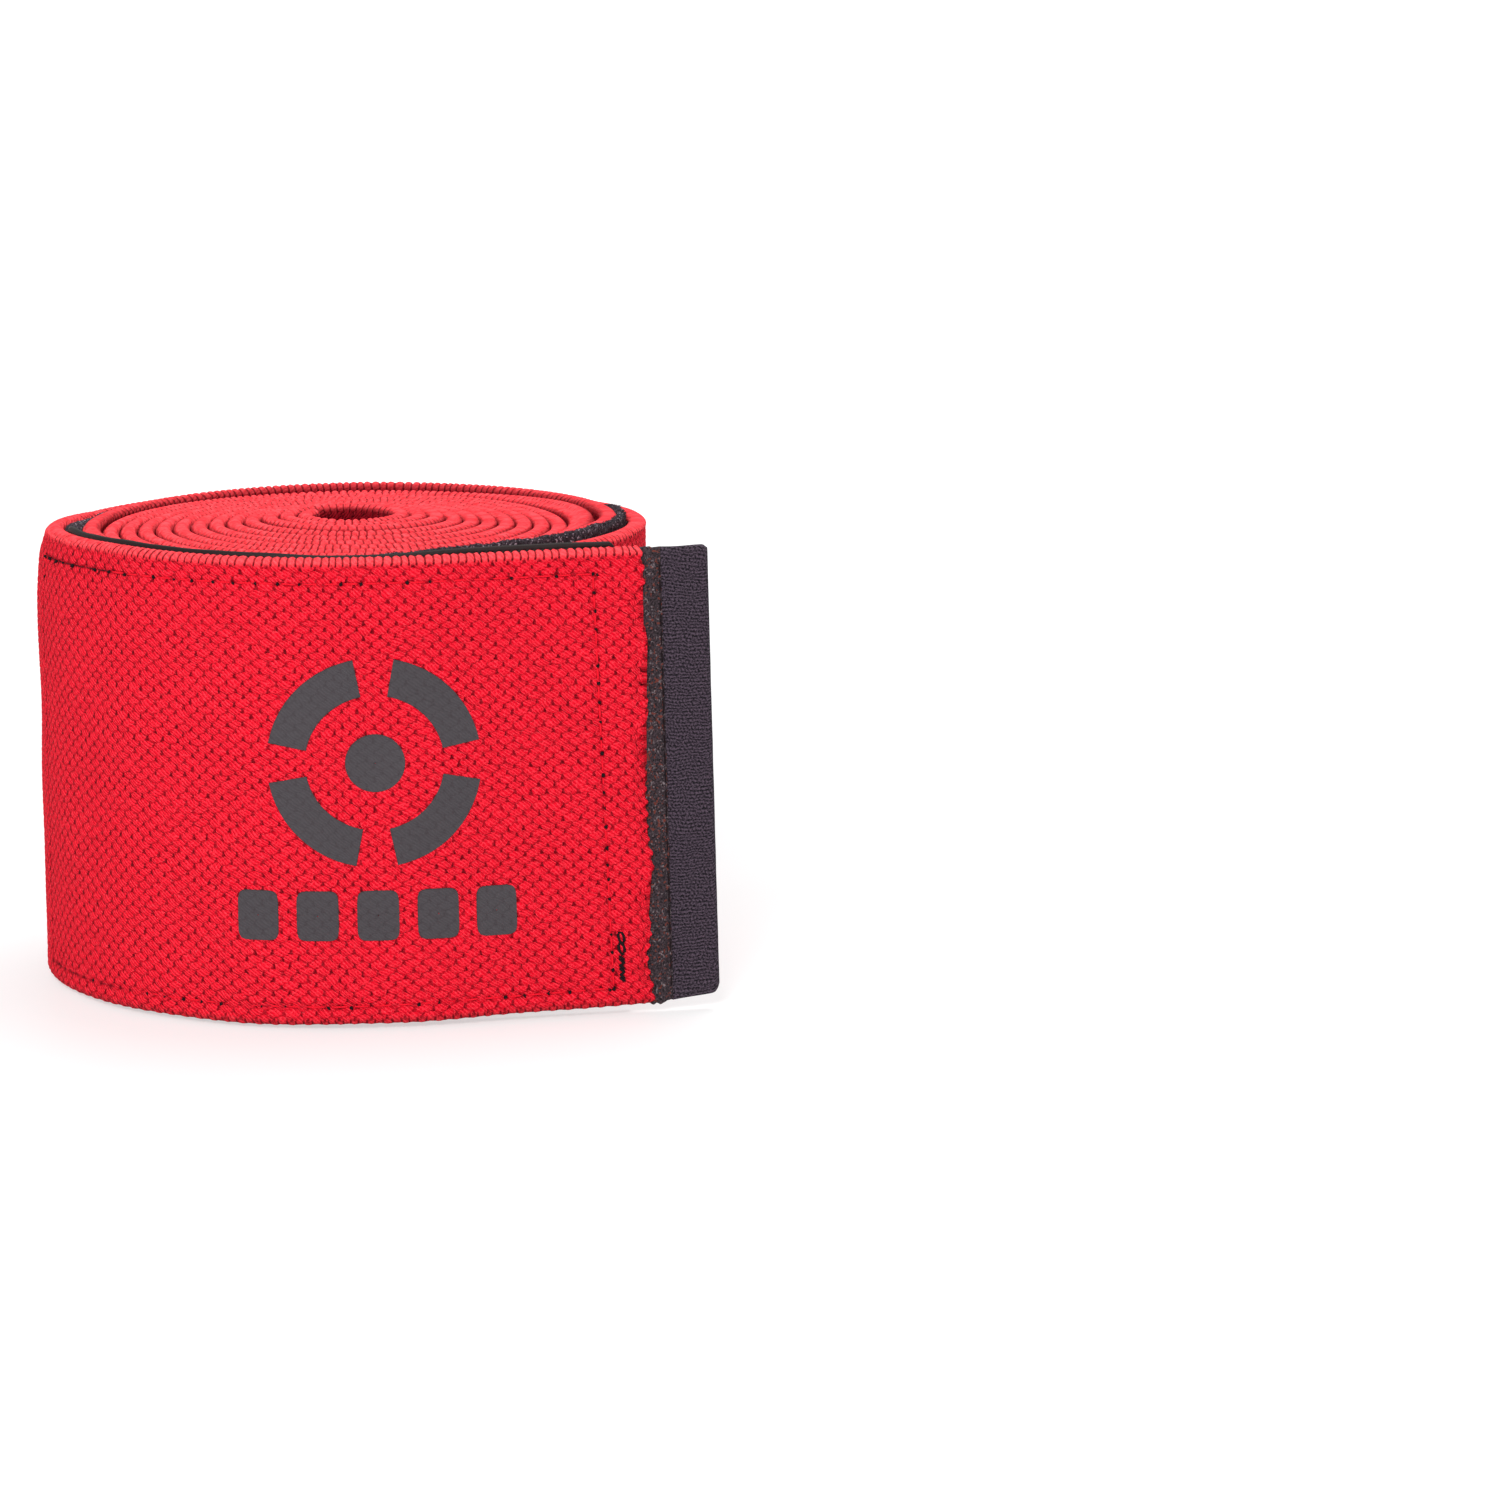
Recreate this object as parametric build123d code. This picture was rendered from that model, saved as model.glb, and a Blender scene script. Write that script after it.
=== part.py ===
from build123d import *
import math
import os

# Rolled elastic hand wrap, standing on the edge of its band.
# Millimetres, +Z up, the printed front faces -Y, the free end with its pull tab points to +X.
# The origin is the middle of the object's footprint, on the surface that it stands on.

# ---- driving dimensions ---------------------------------------------------------------------
BAND_WIDTH = 50.0            # 2 inch knitted elastic band
BAND_THICK = 1.87            # relaxed thickness of one turn
ROLL_CENTRE = (-3.01, 0.42)  # axis of the roll, so that the footprint is centred on the origin

CORE_HEIGHT = 49.4           # the inner turns are wound tighter, so the band is narrower there
CORE_RADIUS = 4.77           # outer face of the spiral carried back to turn number 0
PITCH = 1.95                 # radial growth for each inner turn
FIRST_TURN = 0.42            # turn number of the band's inner end, counted from +X
CORE_END_TURN = 11.70        # where the tight inner turns end

HOOK_THICK = 0.85
LOOP_THICK = 0.95
SKIN_GAP = 0.03              # between a patch and the face it is sewn to
LOOP_START_TURN = 11.765     # the loop patch lies on the outer face of the band
LOOP_END_TURN = 12.69

# Outer face of the two loose outer turns: turn number and radius.  They swell over the
# loop patch and over its inner end, and lie a little open on the right.
OUTER_TURNS = (
    (11.70, 27.585), (11.76, 27.70), (11.82, 27.90), (11.90, 28.70), (12.00, 29.70),
    (12.12, 29.75), (12.25, 29.50), (12.50, 29.30), (12.62, 29.35), (12.70, 29.65),
    (12.76, 30.65), (12.82, 31.05), (12.90, 31.90), (13.00, 32.95), (13.12, 33.20),
    (13.25, 33.35), (13.40, 33.85), (13.50, 34.05), (13.60, 34.05),
)
HINGE_TURN = 13.53           # the sewn end section starts here, on the left of the roll

# The end section: round the roll to the front, then an opener arc, then straight.
FLAP_RADIUS = 34.05
OPEN_RADIUS = 48.0
OPEN_ANGLE = 14.0            # degrees that the opener arc turns
FLAP_STRAIGHT = 22.9         # straight stretch up to the band's cut end
FLAP_LIFT = 0.5              # the free end is wound a little high
JOINT_GAP = 0.12             # slit between the end section and the rest of the band

HOOK_LIFT = 0.9              # the hook tape stands above the band's top edge
HOOK_INSET = 3.0             # from the hinge slit to the hook tape, along the band
HOOK_END_INSET = 3.6         # from the band's cut end back to the hook tape

TAPE_THICK = 0.40            # one leaf of the folded pull tab
TAB_THICK = 1.0              # both leaves, pressed flat
HEM_LENGTH = 2.0             # the leaves that are sewn over the band's pressed end
TONGUE_THICK = 0.16          # pressed end of the band between the leaves
TAB_LENGTH = 4.1             # free length of the pull tab
TAB_DEPTH = 0.55             # the tab lies this far below the band's outer face

THREAD = 0.34                # width of a stitch
THREAD_HIGH = 0.12
STITCH = 2.3
STITCH_PITCH = 3.1
STITCH_LIFT = 0.03           # clears the sag of a straight stitch on a round face
SEAM_TOP = 2.6               # seam lines in from the band's long edges
SEAM_BOTTOM = 2.1
SEAM_LEFT = 3.8              # first upright seam, from the hinge slit
SEAM_RIGHT_TOP = 5.2         # second upright seam leans: distance from the cut end
SEAM_RIGHT_BOTTOM = 3.4

THUMB_LOOP_WIDTH = 12.0
THUMB_LEAF = 0.5
THUMB_SLIT = 0.06
THUMB_PITCH = 1.16
THUMB_OUTER_TURN = 0.77
THUMB_INNER_TURN = -1.35
THUMB_RADIUS = 4.05          # outer face of the loop tape at its outer turn number

EMBLEM_THICK = 0.12
EMBLEM_X = 4.4               # centre of the printed emblem, from the roll's axis
EMBLEM_Z = 28.9
EMBLEM_RADIUS = 11.2
EMBLEM_STROKE = 4.0
EMBLEM_ARC = 68.0            # degrees covered by each of four arcs
DOT_RADIUS = 3.1
BAR_Z = 12.5
BAR_SIZE = (4.3, 5.4)
BAR_COUNT = 5
BAR_PITCH = 6.2

POINTS_PER_TURN = 18


# ---- plan geometry ---------------------------------------------------------------------------
def outer_radius(turn):
    """Radius of the band's outer face at a turn number."""
    if turn <= CORE_END_TURN:
        return CORE_RADIUS + PITCH * turn
    last = len(OUTER_TURNS) - 1
    index = max(i for i in range(last) if OUTER_TURNS[i][0] <= turn)
    (t0, r0), (t1, r1) = OUTER_TURNS[index], OUTER_TURNS[index + 1]
    before = OUTER_TURNS[max(index - 1, 0)]
    after = OUTER_TURNS[min(index + 2, last)]
    slope0 = (r1 - before[1]) / (t1 - before[0])
    slope1 = (after[1] - r0) / (after[0] - t0)
    u = (turn - t0) / (t1 - t0)
    step = t1 - t0
    return (
        (2 * u**3 - 3 * u**2 + 1) * r0
        + (u**3 - 2 * u**2 + u) * step * slope0
        + (3 * u**2 - 2 * u**3) * r1
        + (u**3 - u**2) * step * slope1
    )


def polar(turn, radius):
    """Point at a turn number and radius round the roll's axis."""
    angle = 2 * math.pi * turn
    return (
        ROLL_CENTRE[0] + radius * math.cos(angle),
        ROLL_CENTRE[1] + radius * math.sin(angle),
    )


def wound_strip(start, end, radius_at, depth0, depth1, z0, z1):
    """Solid between two depths below a spiral face, from one turn number to another."""
    count = max(4, round((end - start) * POINTS_PER_TURN))
    turns = [start + (end - start) * i / count for i in range(count + 1)]
    outside = [polar(t, radius_at(t) - depth0) for t in turns]
    inside = [polar(t, radius_at(t) - depth1) for t in turns]
    edges = [
        Spline(*outside),
        Line(outside[-1], inside[-1]),
        Spline(*inside),
        Line(inside[0], outside[0]),
    ]
    face = make_face(edges)
    return Pos(0, 0, z0) * extrude(face, amount=z1 - z0, dir=(0, 0, 1))


ROUND_ANGLE = 270.0 - 360.0 * (HINGE_TURN - 13.0)     # from the hinge to the front, degrees
ROUND_LENGTH = math.radians(ROUND_ANGLE) * FLAP_RADIUS
OPEN_LENGTH = math.radians(OPEN_ANGLE) * OPEN_RADIUS
FLAP_LENGTH = ROUND_LENGTH + OPEN_LENGTH + FLAP_STRAIGHT
BREAKS = (0.0, ROUND_LENGTH, ROUND_LENGTH + OPEN_LENGTH, 1000.0)


def flap_frame(s):
    """Point on the end section's outer face, and its outward normal and direction."""
    if s <= ROUND_LENGTH:
        heading = s / FLAP_RADIUS - math.radians(ROUND_ANGLE)
        centre = ROLL_CENTRE
        radius = FLAP_RADIUS
        run = 0.0
    else:
        heading = min((s - ROUND_LENGTH) / OPEN_RADIUS, math.radians(OPEN_ANGLE))
        centre = (ROLL_CENTRE[0], ROLL_CENTRE[1] - FLAP_RADIUS + OPEN_RADIUS)
        radius = OPEN_RADIUS
        run = max(0.0, s - ROUND_LENGTH - OPEN_LENGTH)
    normal = (math.sin(heading), -math.cos(heading))
    along = (math.cos(heading), math.sin(heading))
    point = (
        centre[0] + radius * normal[0] + run * along[0],
        centre[1] + radius * normal[1] + run * along[1],
    )
    return point, normal, along


def flap_point(s, depth):
    """Plan point at a length along the end section and a depth below its outer face."""
    point, normal, _ = flap_frame(s)
    return (point[0] - depth * normal[0], point[1] - depth * normal[1])


def flap_edges(s0, s1, depth):
    """Arcs and lines that follow the end section at one depth."""
    edges = []
    for low, high in zip(BREAKS, BREAKS[1:]):
        a, b = max(s0, low), min(s1, high)
        if b - a < 1e-6:
            continue
        ends = flap_point(a + 1e-9, depth), flap_point(b - 1e-9, depth)
        if high == BREAKS[-1]:
            edges.append(Line(*ends))
        else:
            edges.append(ThreePointArc(ends[0], flap_point((a + b) / 2, depth), ends[1]))
    return edges


def flap_strip(s0, s1, depth0, depth1, z0, z1):
    """Solid that follows the end section between two depths."""
    edges = flap_edges(s0, s1, depth0) + flap_edges(s0, s1, depth1)
    edges.append(Line(flap_point(s0, depth0), flap_point(s0, depth1)))
    edges.append(Line(flap_point(s1, depth0), flap_point(s1, depth1)))
    face = make_face(edges)
    return Pos(0, 0, z0) * extrude(face, amount=z1 - z0, dir=(0, 0, 1))


# ---- stitches --------------------------------------------------------------------------------
def stitch(point, normal, upright, z, length=STITCH):
    """One flat stitch lying on a face, centred on a plan point at height z."""
    angle = math.degrees(math.atan2(normal[1], normal[0]))
    size = (THREAD_HIGH, THREAD, length) if upright else (THREAD_HIGH, length, THREAD)
    lift = STITCH_LIFT + THREAD_HIGH / 2
    place = (point[0] + lift * normal[0], point[1] + lift * normal[1], z)
    return Pos(*place) * Rot(0, 0, angle) * Box(*size)


def flap_stitch(s, z, upright, depth=0.0, length=STITCH):
    """One stitch on the end section's outer face, or below it."""
    _, normal, _ = flap_frame(s)
    return stitch(flap_point(s, depth), normal, upright, z, length)


def even_places(start, end, pitch=STITCH_PITCH):
    """Evenly spaced places along a seam, about one pitch apart."""
    count = max(1, round((end - start) / pitch))
    step = (end - start) / count
    return [start + step * (i + 0.5) for i in range(count)]


def write(name, solids):
    """Write one sub-part, from one solid or a list of separate solids."""
    shape = Compound(children=solids) if isinstance(solids, list) else solids
    export_step(shape, f"parts/{name}.step")


# ---- the band --------------------------------------------------------------------------------
def band_core_turns():
    return wound_strip(FIRST_TURN, CORE_END_TURN, outer_radius, 0, BAND_THICK, 0, CORE_HEIGHT)


def band_outer_turns():
    slit = JOINT_GAP / (2 * math.pi * FLAP_RADIUS)
    start = CORE_END_TURN + slit
    end = HINGE_TURN - slit
    return wound_strip(start, end, outer_radius, 0, BAND_THICK, 0, BAND_WIDTH)


def band_end_flap():
    top = FLAP_LIFT + BAND_WIDTH
    body = flap_strip(0, FLAP_LENGTH, 0, BAND_THICK, FLAP_LIFT, top)
    middle = TAB_DEPTH + TAB_THICK / 2
    tongue = flap_strip(
        FLAP_LENGTH - 0.5,
        FLAP_LENGTH + HEM_LENGTH - 0.3,
        middle - TONGUE_THICK / 2,
        middle + TONGUE_THICK / 2,
        FLAP_LIFT,
        top,
    )
    return body + tongue


# ---- patches, tab and thumb loop -------------------------------------------------------------
def hook_patch():
    depth = BAND_THICK + SKIN_GAP
    return flap_strip(
        HOOK_INSET,
        FLAP_LENGTH - HOOK_END_INSET,
        depth,
        depth + HOOK_THICK,
        HOOK_LIFT,
        HOOK_LIFT + BAND_WIDTH,
    )


def loop_patch():
    return wound_strip(
        LOOP_START_TURN,
        LOOP_END_TURN,
        outer_radius,
        -SKIN_GAP - LOOP_THICK,
        -SKIN_GAP,
        0.4,
        BAND_WIDTH - 0.2,
    )


def pull_tab_hem():
    """The two sewn leaves of the folded tape, each side of the band's pressed end."""
    start = FLAP_LENGTH + 0.02
    end = FLAP_LENGTH + HEM_LENGTH
    top = FLAP_LIFT + BAND_WIDTH
    far = TAB_DEPTH + TAB_THICK
    whole = flap_strip(start, end, TAB_DEPTH, far, FLAP_LIFT, top)
    slot = flap_strip(
        start - 1.0, end - 0.25, TAB_DEPTH + TAPE_THICK, far - TAPE_THICK, -1, top + 1
    )
    return whole - slot


TAB_PIVOT_S = FLAP_LENGTH + HEM_LENGTH + 0.1 + TAB_THICK / 2


def pull_tab():
    """Free part of the folded tape, rounded at the flex line and at the fold."""
    top = FLAP_LIFT + BAND_WIDTH
    middle = TAB_DEPTH + TAB_THICK / 2
    end = TAB_PIVOT_S + TAB_LENGTH - TAB_THICK / 2
    flat = flap_strip(TAB_PIVOT_S, end, TAB_DEPTH, TAB_DEPTH + TAB_THICK, FLAP_LIFT, top)
    ends = [
        Pos(*flap_point(s, middle), FLAP_LIFT + BAND_WIDTH / 2)
        * Cylinder(TAB_THICK / 2, BAND_WIDTH)
        for s in (TAB_PIVOT_S, end)
    ]
    return flat + ends


def thumb_radius(turn):
    return THUMB_RADIUS + THUMB_PITCH * (turn - THUMB_OUTER_TURN)


def thumb_loop():
    """Narrow tape loop sewn to the band's inner end, folded flat and rolled up in the core."""
    low = (CORE_HEIGHT - THUMB_LOOP_WIDTH) / 2
    high = low + THUMB_LOOP_WIDTH
    whole = wound_strip(
        THUMB_INNER_TURN, THUMB_OUTER_TURN, thumb_radius, 0, 2 * THUMB_LEAF + THUMB_SLIT, low, high
    )
    slit = wound_strip(
        THUMB_INNER_TURN + 0.05,
        THUMB_OUTER_TURN - 0.12,
        thumb_radius,
        THUMB_LEAF,
        THUMB_LEAF + THUMB_SLIT,
        low - 1,
        high + 1,
    )
    return whole - slit


# ---- seams -----------------------------------------------------------------------------------
def hook_patch_seam():
    """Rectangle of stitches that holds the hook tape, seen on the band's outer face."""
    low = FLAP_LIFT + SEAM_BOTTOM
    high = FLAP_LIFT + BAND_WIDTH - SEAM_TOP
    right = FLAP_LENGTH - SEAM_RIGHT_TOP
    stitches = []
    for s in even_places(SEAM_LEFT, right):
        stitches.append(flap_stitch(s, high, False))
        stitches.append(flap_stitch(s, low, False))
    for z in even_places(low + THREAD, high - THREAD):
        lean = (high - z) / (high - low) * (SEAM_RIGHT_TOP - SEAM_RIGHT_BOTTOM)
        stitches.append(flap_stitch(SEAM_LEFT, z, True))
        stitches.append(flap_stitch(right + 0.5 + lean, z, True))
    return stitches


def hook_patch_back_tack():
    """Black lower thread that shows where the seam is locked, beside its lower right corner."""
    s = FLAP_LENGTH - SEAM_RIGHT_BOTTOM + 1.0
    return [flap_stitch(s, z, True, length=1.4) for z in (4.6, 6.6, 8.6)]


def loop_patch_seam():
    """Stitches along both long edges of the loop patch, on its outer face."""
    stitches = []
    pitch = STITCH_PITCH / (2 * math.pi * 30.5)
    for turn in even_places(LOOP_START_TURN + 0.05, LOOP_END_TURN - 0.01, pitch):
        angle = 2 * math.pi * turn
        normal = (math.cos(angle), math.sin(angle))
        point = polar(turn, outer_radius(turn) + SKIN_GAP + LOOP_THICK + 0.01)
        for z in (2.4, BAND_WIDTH - 2.4):
            stitches.append(stitch(point, normal, False, z))
    return stitches


def pull_tab_seam():
    """Upright line of stitches through the tab's leaves and the band's end."""
    s = FLAP_LENGTH + HEM_LENGTH - 0.45
    low = FLAP_LIFT + 1.5
    return [
        flap_stitch(s, z, True, TAB_DEPTH)
        for z in even_places(low, low + BAND_WIDTH - 3.0)
    ]


def thumb_loop_seam():
    """Short bar of stitches that joins the thumb loop's ends to the band's inner end."""
    turn = THUMB_OUTER_TURN - 0.06
    angle = 2 * math.pi * turn
    normal = (math.cos(angle), math.sin(angle))
    point = polar(turn, thumb_radius(turn) + SKIN_GAP)
    low = (CORE_HEIGHT - THUMB_LOOP_WIDTH) / 2 + 1.0
    heights = even_places(low, low + THUMB_LOOP_WIDTH - 2.0, 2.0)
    return [stitch(point, normal, True, z, length=1.5) for z in heights]


# ---- emblem film -----------------------------------------------------------------------------
def film(outline):
    """Thin film on the end section, with the outline of a sketch seen from the front."""
    skin = flap_strip(
        ROUND_LENGTH - 20, ROUND_LENGTH + 25, -EMBLEM_THICK - SKIN_GAP, -SKIN_GAP, 1, BAND_WIDTH
    )
    front = Plane(origin=(ROLL_CENTRE[0] + EMBLEM_X, -60, 0), x_dir=(1, 0, 0), z_dir=(0, -1, 0))
    prism = extrude(front * outline, amount=-50)
    return [solid for solid in (skin & prism).solids()]


def emblem_ring():
    """Plain ring in four arcs."""
    ring = Circle(EMBLEM_RADIUS) - Circle(EMBLEM_RADIUS - EMBLEM_STROKE)
    gap = (90.0 - EMBLEM_ARC) * math.pi / 180 * EMBLEM_RADIUS
    cross = [Rot(0, 0, turn) * Rectangle(3 * EMBLEM_RADIUS, gap * 0.75) for turn in (0, 90)]
    return film(Pos(0, EMBLEM_Z) * (ring - cross))


def emblem_dot():
    return film(Pos(0, EMBLEM_Z) * Circle(DOT_RADIUS))


def emblem_bars():
    """Row of plain bars under the ring."""
    bars = []
    for i in range(BAR_COUNT):
        x = (i - (BAR_COUNT - 1) / 2) * BAR_PITCH
        bars += film(Pos(x, BAR_Z) * RectangleRounded(*BAR_SIZE, 0.6))
    return bars


os.makedirs("parts", exist_ok=True)
SUB_PARTS = (
    band_core_turns, band_outer_turns, band_end_flap, hook_patch, loop_patch,
    pull_tab_hem, pull_tab, thumb_loop, hook_patch_seam, hook_patch_back_tack,
    loop_patch_seam, pull_tab_seam, thumb_loop_seam, emblem_ring, emblem_dot, emblem_bars,
)
for make in SUB_PARTS:
    write(make.__name__, make())

hinge, hinge_normal, _ = flap_frame(0.0)
tab_axis = flap_point(TAB_PIVOT_S, TAB_DEPTH + TAB_THICK / 2)
print("peel hinge at x, y:", [round(v, 3) for v in hinge])
print("tab flex line at x, y:", [round(v, 3) for v in tab_axis])
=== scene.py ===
import math

import bpy
import numpy as np
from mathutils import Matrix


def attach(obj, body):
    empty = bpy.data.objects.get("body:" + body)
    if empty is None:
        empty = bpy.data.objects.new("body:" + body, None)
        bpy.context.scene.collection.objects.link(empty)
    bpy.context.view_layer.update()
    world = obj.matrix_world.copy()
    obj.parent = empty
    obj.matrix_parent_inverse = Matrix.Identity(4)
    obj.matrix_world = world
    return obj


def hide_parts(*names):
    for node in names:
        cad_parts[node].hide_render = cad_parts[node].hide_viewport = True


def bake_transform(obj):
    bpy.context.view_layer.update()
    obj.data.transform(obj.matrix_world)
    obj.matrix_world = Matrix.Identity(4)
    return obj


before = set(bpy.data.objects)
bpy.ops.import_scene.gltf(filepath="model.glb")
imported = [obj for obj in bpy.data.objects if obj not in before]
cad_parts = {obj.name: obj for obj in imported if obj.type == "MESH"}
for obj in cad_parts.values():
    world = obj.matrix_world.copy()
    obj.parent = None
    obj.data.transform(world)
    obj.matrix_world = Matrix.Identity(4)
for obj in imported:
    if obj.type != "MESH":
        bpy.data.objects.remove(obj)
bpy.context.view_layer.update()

# Rolled knitted hand wrap.  Lengths are millimetres until a mesh is made.
MM = 0.001
rng = np.random.default_rng(7)

# ---- the band's path in plan ----
ROLL = np.array([-3.01, 0.42])  # axis of the roll
WIDTH = 50.0
THICK = 1.87
CORE_RADIUS = 4.77  # outer face of the innermost turn, at turn 0
PITCH = 1.95  # radial growth for each inner turn
FIRST_TURN = 0.42
CORE_END = 11.70
HINGE_TURN = 13.53
OUTER_TURNS = np.array([  # turn number and radius of the outer face
    (11.55, 27.2925), (11.70, 27.585), (11.76, 27.70), (11.82, 27.90), (11.90, 28.70),
    (12.00, 29.70), (12.12, 29.75), (12.25, 29.50), (12.50, 29.30), (12.62, 29.35),
    (12.70, 29.65), (12.76, 30.65), (12.82, 31.05), (12.90, 31.90), (13.00, 32.95),
    (13.12, 33.20), (13.25, 33.35), (13.40, 33.85), (13.50, 34.05), (13.60, 34.05),
])
FRONT_RADIUS = 34.05
OPEN_RADIUS = 48.0  # the front opens into this wider bend
OPEN_ANGLE = math.radians(14.0)
STRAIGHT = 22.4  # straight run from there to the cut end
PAST_CUT = 14.0  # the path goes on for the pull tab
HEM = 2.0  # sewn width of the pull tab
TAB = 5.2  # free length of the pull tab, from the hem
TAB_THICK = 1.0
TAB_DEPTH = 0.55  # the tab's face lies that far below the band's face
PATH_STEP = 0.05
TURN_STEP = 0.0004


def face_radius(turn):
    """Radius of the band's outer face at each turn number."""
    inner = CORE_RADIUS + PITCH * turn
    t, r = OUTER_TURNS.T
    slope = np.gradient(r, t)
    i = np.clip(np.searchsorted(t, turn, side="right") - 1, 0, len(t) - 2)
    step = t[i + 1] - t[i]
    u = np.clip((turn - t[i]) / step, 0, 1)
    outer = (
        (2 * u**3 - 3 * u**2 + 1) * r[i]
        + (u**3 - 2 * u**2 + u) * step * slope[i]
        + (3 * u**2 - 2 * u**3) * r[i + 1]
        + (u**3 - u**2) * step * slope[i + 1]
    )
    return np.where(turn <= CORE_END, inner, outer)


def build_path():
    """Middle line of the whole band as a dense polyline, with the turn number of each point."""
    turns = np.arange(FIRST_TURN, HINGE_TURN, TURN_STEP)
    radius = face_radius(turns) - THICK / 2
    angle = 2 * math.pi * turns
    wound = ROLL + np.stack([radius * np.cos(angle), radius * np.sin(angle)], -1)
    mid = FRONT_RADIUS - THICK / 2
    start = 2 * math.pi * (HINGE_TURN - 13.0)
    bend = np.linspace(start, 1.5 * math.pi, 1600)
    front = ROLL + mid * np.stack([np.cos(bend), np.sin(bend)], -1)
    centre = ROLL + np.array([0.0, OPEN_RADIUS - FRONT_RADIUS])
    open_mid = OPEN_RADIUS - THICK / 2
    bend = np.linspace(1.5 * math.pi, 1.5 * math.pi + OPEN_ANGLE, 300)
    opener = centre + open_mid * np.stack([np.cos(bend), np.sin(bend)], -1)
    along = np.array([math.cos(OPEN_ANGLE), math.sin(OPEN_ANGLE)])
    run = np.linspace(0, STRAIGHT + PAST_CUT, 600)[:, None]
    straight = opener[-1] + run * along
    points = np.concatenate([wound, front[1:], opener[1:], straight[1:]])
    length = np.concatenate([[0], np.cumsum(np.hypot(*np.diff(points, axis=0).T))])
    even = np.arange(0, length[-1], PATH_STEP)
    x = np.interp(even, length, points[:, 0])
    y = np.interp(even, length, points[:, 1])
    hinge = length[len(wound) - 1]
    front_end = length[len(wound) + len(front) - 2]
    cut = length[len(wound) + len(front) + len(opener) - 3] + STRAIGHT
    return even, x, y, length[: len(wound)], turns, hinge, front_end, cut


PATH_S, PATH_X, PATH_Y, TURN_S, TURNS, S_HINGE, S_FRONT, S_CUT = build_path()
_dx = np.gradient(PATH_X)
_dy = np.gradient(PATH_Y)
_size = np.hypot(_dx, _dy)
PATH_NX = _dy / _size
PATH_NY = -_dx / _size


def on_path(s, out):
    """Plan points at arc lengths s, out millimetres outside the band's middle line."""
    x = np.interp(s, PATH_S, PATH_X) + out * np.interp(s, PATH_S, PATH_NX)
    y = np.interp(s, PATH_S, PATH_Y) + out * np.interp(s, PATH_S, PATH_NY)
    return x, y


def s_at(turn):
    """Arc length at a turn number."""
    return float(np.interp(turn, TURNS, TURN_S))


def smooth(x, low, high):
    """0 below low, 1 above high, and a smooth step between."""
    t = np.clip((x - low) / (high - low), 0, 1)
    return t * t * (3 - 2 * t)


# ---- heights of the band's edges ----
TOP_AT = np.array([  # turn number and height of the upper edge
    (0.4, 50.9), (0.75, 50.7), (1.0, 50.85), (1.25, 51.05), (1.5, 50.9), (1.75, 50.6),
    (2.25, 50.8), (4.0, 50.25), (7.0, 49.8), (10.0, 49.45), (10.85, 49.45),
    (11.02, 50.0), (11.15, 49.65), (11.3, 49.35), (11.62, 49.35), (11.80, 50.3),
    (11.95, 50.6), (12.1, 50.6), (12.25, 50.55), (12.4, 50.1), (12.5, 49.85), (12.62, 49.7),
    (12.85, 49.8), (13.0, 50.05), (13.06, 49.8), (13.12, 49.5), (13.25, 49.45),
    (13.36, 49.35), (13.40, 49.2), (13.43, 49.1), (13.45, 49.3), (13.47, 49.5), (13.53, 50.0),
])
LOW_AT = np.array([  # turn number and height of the lower edge
    (0.4, 1.6), (4.0, 1.3), (7.0, 0.9), (10.0, 0.55), (11.2, 0.5), (11.7, 0.4),
    (12.0, 0.3), (12.5, 0.05), (13.0, 0.0), (13.25, 0.02), (13.53, 0.25),
])
CORE_TILT = 0.45  # the core's outer turns stand higher at the back
HINGE_LIFT = 0.2
END_LIFT = 0.5  # the free end is wound a little high
LIFT_RUN = 22.0
CUT_RISE = 0.24  # the cut end stands that much higher again
LOW_RISE = 0.40  # the free end is that much narrower at its cut
LEAN = 1.3  # the cut end leans: its top is that much further back


def edge_heights(s):
    """Heights of the band's lower and upper edge at arc lengths s."""
    turn = np.interp(s, TURN_S, TURNS)
    low = np.interp(turn, *LOW_AT.T)
    top = np.interp(turn, *TOP_AT.T)
    tilt = CORE_TILT * np.sin(2 * math.pi * turn) * smooth(turn, 1.0, 11.0)
    tilt = tilt * (1 - smooth(turn, 11.5, 11.8))
    low = low + tilt
    top = top + tilt
    past = s - S_HINGE
    lift = HINGE_LIFT + (END_LIFT - HINGE_LIFT) * smooth(past, 0, LIFT_RUN)
    towards_cut = np.clip((s - S_FRONT) / (S_CUT - S_FRONT), 0, 1.3)
    lift = lift + CUT_RISE * towards_cut
    narrow = LOW_RISE * towards_cut
    low = np.where(past > 0, lift + narrow + 0.05 * (1 - smooth(past, 0, LIFT_RUN)), low)
    top = np.where(past > 0, WIDTH + lift, top)
    return low, top


def leaned(s, v):
    """Arc lengths after the end section's lean, for heights v."""
    ramp = smooth(s, S_FRONT - 10, S_CUT)
    return s - LEAN * ramp * (v / WIDTH - 0.5)


CURL_IN = 0.85
LEFT_BULGE = 0.32


def curl(s, v):
    """On the left of the roll the outer turn stands out a little and its upper edge leans in."""
    left = smooth(s, S_HINGE - 22, S_HINGE - 2) * (1 - smooth(s, S_HINGE + 16, S_HINGE + 34))
    bulge = LEFT_BULGE * left * (1 - smooth(v, WIDTH - 8.0, WIDTH - 1.0))
    return CURL_IN * left * smooth(v, WIDTH - 4.0, WIDTH + 0.6) ** 1.5 - bulge


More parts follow.
